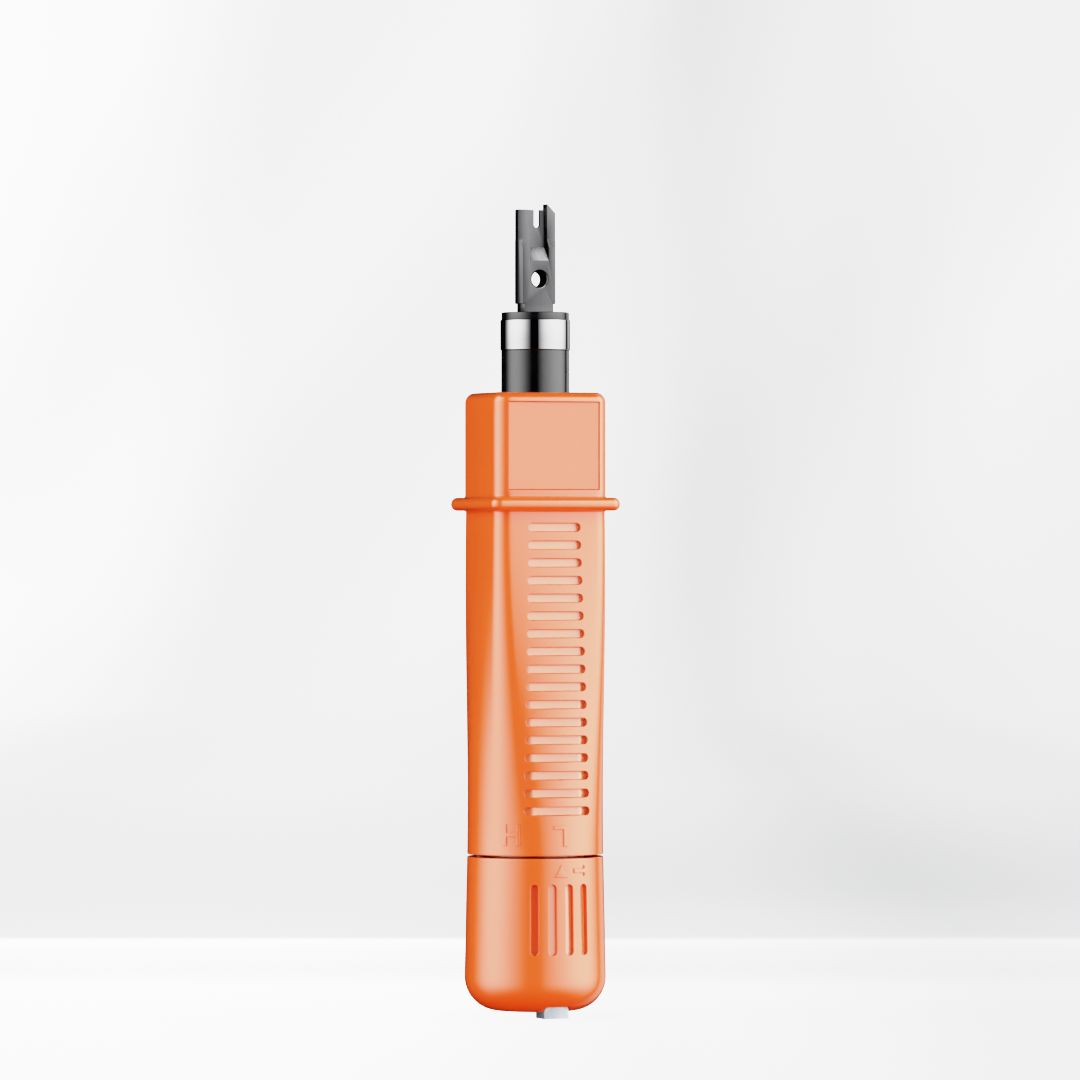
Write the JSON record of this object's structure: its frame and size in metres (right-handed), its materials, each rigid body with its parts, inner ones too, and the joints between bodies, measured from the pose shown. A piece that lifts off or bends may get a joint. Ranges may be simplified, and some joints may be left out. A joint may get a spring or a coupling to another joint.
{
  "type": "punch down tool",
  "caption": "Spring-loaded impact punch down tool: moulded orange handle with finger guard, push-in black nose with twist-lock blade, rotating force dial cap and a pull-out wire hook.",
  "frame": {"origin": "on the tool's axis, level with the end of the pull tab, which is the lowest point", "axes": "+Z along the axis towards the blade tip, -Y is the face with the label recess and grip slots, +X is the side with the blade's cutter"},
  "size_m": [0.0304, 0.0304, 0.1746],
  "materials": {
    "orange_plastic": "satin moulded plastic",
    "black_sleeve": "smooth black coating",
    "chrome_ring": "polished",
    "blade_steel": "fine ground grey",
    "tab_metal": "bead blasted pale metal",
    "steel": "turned",
    "spring_steel": "drawn wire",
    "dark_steel": "oiled, hardened",
    "bronze": "sintered",
    "black_nylon": "moulded"
  },
  "bodies": {
    "handle": {"handle_body": "orange_plastic", "front_bushing": "bronze", "trip_cam_sleeve": "steel", "return_spring_washer": "steel", "return_spring": "spring_steel", "spring_tube": "steel", "tube_retaining_ring": "spring_steel", "dial_detent_ball": "steel", "dial_detent_spring": "spring_steel", "dial_stop_pin": "steel"},
    "plunger": {"nose_sleeve": "black_sleeve", "nose_ring": "chrome_ring", "nose_lip": "black_sleeve", "blade_socket": "dark_steel", "socket_pin": "steel", "blade_detent_ball": "steel", "blade_detent_clip": "spring_steel"},
    "blade": {"punch_blade": "blade_steel"},
    "striker": {"hammer": "dark_steel", "slug_spring": "spring_steel"},
    "slug": {"trip_slug": "dark_steel"},
    "seat": {"spring_seat": "steel", "main_spring": "spring_steel"},
    "cap": {"end_cap": "orange_plastic", "cap_core": "black_nylon", "dial_cam": "black_nylon", "cam_screw": "steel", "cap_retaining_ring": "spring_steel", "hook_leaf_spring": "spring_steel"},
    "hook": {"hook_tab": "tab_metal", "wire_hook": "steel", "hook_rivet": "steel"}
  },
  "joints": [
    {"name": "plunger_press", "type": "slide", "parent": "handle", "child": "plunger", "axis": [0, 0, -1], "range_m": [0, 0.0088], "stiffness_N_per_m": 2500, "springref_m": -0.004, "deforming": ["return_spring", "main_spring"]},
    {"name": "blade_twist", "type": "hinge", "parent": "plunger", "child": "blade", "pos_m": [0, 0, 0.14], "axis": [0, 0, 1], "range_deg": [0, 90]},
    {"name": "hammer_load", "type": "slide", "parent": "handle", "child": "striker", "axis": [0, 0, -1], "range_m": [0, 0.0089]},
    {"name": "slug_centre", "type": "slide", "parent": "striker", "child": "slug", "axis": [-1, 0, 0], "range_m": [0, 0.00165], "deforming": ["slug_spring"]},
    {"name": "force_dial", "type": "hinge", "parent": "handle", "child": "cap", "pos_m": [0, 0, 0.03], "axis": [0, 0, -1], "range_deg": [0, 40]},
    {"name": "seat_lift", "type": "slide", "parent": "handle", "child": "seat", "axis": [0, 0, 1], "range_m": [0, 0.0021]},
    {"name": "hook_pull", "type": "slide", "parent": "cap", "child": "hook", "axis": [0, 0, -1], "range_m": [0, 0.02]}
  ],
  "couplings": [
    {"joint": "hammer_load", "follows": "plunger_press", "ratio": 1},
    {"joint": "slug_centre", "follows": "plunger_press", "ratio": 0.18182},
    {"joint": "seat_lift", "follows": "force_dial", "m_per_rad": 0.0028648}
  ]
}
